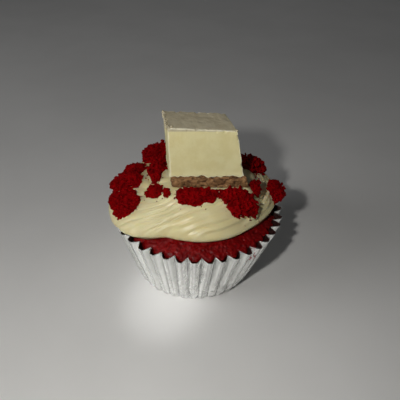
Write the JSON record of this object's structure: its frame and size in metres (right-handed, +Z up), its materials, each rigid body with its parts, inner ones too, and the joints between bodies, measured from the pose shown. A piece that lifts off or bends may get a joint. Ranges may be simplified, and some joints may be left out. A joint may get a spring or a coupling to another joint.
{
  "type": "cupcake",
  "caption": "Red cupcake in a pleated foil case, with a low swirl of cream icing, an upright slice of cheesecake on a biscuit base and clumps of cake crumb.",
  "frame": {"origin": "middle of the underside of the foil case", "axes": "+Z up out of the case, -Y towards the front, where the sponge shows below the icing and the slice's face looks out, +X to the right seen from the front"},
  "size_m": [0.0713, 0.0703, 0.0713],
  "materials": {
    "foil": "bright foil",
    "sponge": "soft damp crumb",
    "icing": "glossy cream",
    "cheesecake": "smooth set cream",
    "biscuit": "pressed crumb",
    "crumb": "loose crumb"
  },
  "bodies": {
    "root": {"foil_case": "foil", "sponge": "sponge", "icing": "icing", "cheesecake": "cheesecake", "biscuit_base": "biscuit", "crumb_left_back": "crumb", "crumb_left_front": "crumb", "crumb_behind_left": "crumb", "crumb_beside_slice": "crumb", "crumb_small": "crumb", "crumb_tiny": "crumb", "crumb_front": "crumb", "crumb_right_front": "crumb", "crumb_right_side": "crumb", "crumb_right_back": "crumb", "crumb_far_right": "crumb", "crumb_back_right": "crumb", "crumb_back": "crumb", "crumb_back_small": "crumb"}
  },
  "joints": []
}
